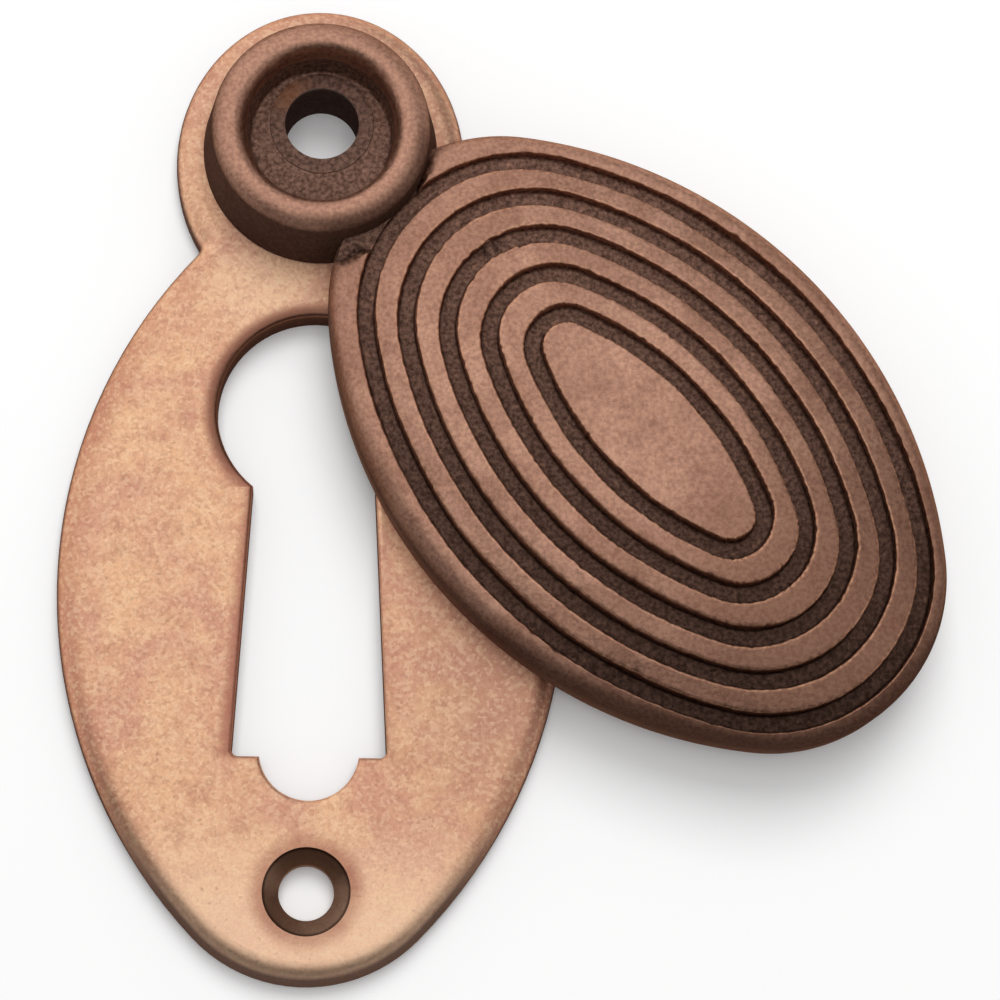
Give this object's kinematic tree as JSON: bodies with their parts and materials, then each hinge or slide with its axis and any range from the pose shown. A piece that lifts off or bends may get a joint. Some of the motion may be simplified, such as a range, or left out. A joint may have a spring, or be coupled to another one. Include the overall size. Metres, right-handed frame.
{
  "type": "covered keyhole escutcheon",
  "caption": "Oval keyhole escutcheon: a flat backplate with a keyhole and screw holes, and a domed, grooved cover that swings aside on a hollow rivet in its round boss.",
  "frame": {"origin": "on the axis of the hollow rivet that takes the upper screw, in the plane of the plate's back face", "axes": "+Z out of the front of the plate, along the rivet's axis; +Y up the plate, from the lower screw hole to the rivet; +X to the right, the side to which the cover is swung at rest"},
  "size_m": [0.0535, 0.0607, 0.0086],
  "materials": {
    "plate_copper": "satin antique copper, lightly mottled",
    "cover_copper": "satin antique copper, dark in the grooves and worn bright on the edges",
    "rivet_copper": "dark antique copper"
  },
  "bodies": {
    "plate": {"backplate": "plate_copper", "pivot_rivet": "rivet_copper"},
    "cover": {"swing_cover": "cover_copper"}
  },
  "joints": [
    {"name": "cover_swing", "type": "hinge", "parent": "plate", "child": "cover", "pos_m": [0, 0, 0.0023], "axis": [0, 0, 1], "continuous": true}
  ]
}
